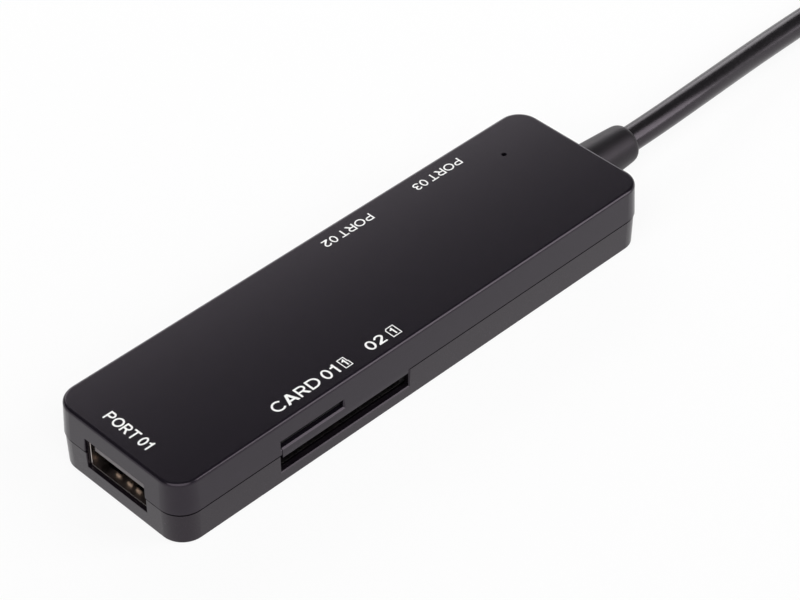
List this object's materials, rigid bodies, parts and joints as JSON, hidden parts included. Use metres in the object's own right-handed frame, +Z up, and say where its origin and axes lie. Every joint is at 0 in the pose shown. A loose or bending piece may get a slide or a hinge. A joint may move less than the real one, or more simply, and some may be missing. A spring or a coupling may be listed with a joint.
{
  "type": "usb multiport adapter",
  "caption": "Flat black bar-shaped hub with A-type ports at one end and along one side, card slots along the other, and a short lead with a C-type plug.",
  "frame": {"origin": "bottom centre of the case, on the surface that it stands on", "axes": "+X along the case towards the lead, +Y towards the side with two ports, +Z up"},
  "size_m": [0.2693, 0.028, 0.0118],
  "materials": {
    "upper_shell": "fine matt moulding texture, black",
    "lower_shell": "satin black moulding",
    "board": "green solder mask",
    "port_steel": "nickel plated sheet",
    "black_insulator": "black moulded insulator",
    "blue_insulator": "blue moulded insulator",
    "gold_contact": "gold plated",
    "socket_plastic": "black moulded frame",
    "socket_steel": "thin stamped sheet",
    "chip_resin": "moulded chip resin",
    "crystal_can": "drawn metal can",
    "light_lens": "clear resin",
    "capacitor_body": "fired ceramic",
    "resistor_body": "glazed ceramic",
    "wire_jacket": "insulated conductor",
    "relief_rubber": "matt black elastomer",
    "cord_jacket": "satin black jacket",
    "grip_plastic": "matt black overmould",
    "plug_steel": "nickel plated shell"
  },
  "bodies": {
    "root": {"upper_case": "upper_shell", "lower_case": "lower_shell", "circuit_board": "board", "hub_chip": "chip_resin", "card_reader_chip": "chip_resin", "crystal": "crystal_can", "regulator": "chip_resin", "status_light": "light_lens", "capacitors": "capacitor_body", "resistors": "resistor_body", "strain_relief": "relief_rubber", "lead_wires": "wire_jacket", "cord": "cord_jacket", "plug_grip": "grip_plastic", "plug_shell": "plug_steel", "plug_insert": "black_insulator", "plug_contacts": "gold_contact", "card_socket_base": "socket_plastic", "card_socket_cover": "socket_steel", "card_socket_contacts": "gold_contact", "small_card_socket_base": "socket_plastic", "small_card_socket_cover": "socket_steel", "small_card_socket_contacts": "gold_contact", "front_port_shell": "port_steel", "front_port_tongue": "black_insulator", "front_port_contacts": "gold_contact", "near_port_shell": "port_steel", "near_port_tongue": "black_insulator", "near_port_contacts": "gold_contact", "far_port_shell": "port_steel", "far_port_tongue": "blue_insulator", "far_port_contacts": "gold_contact"}
  },
  "joints": []
}
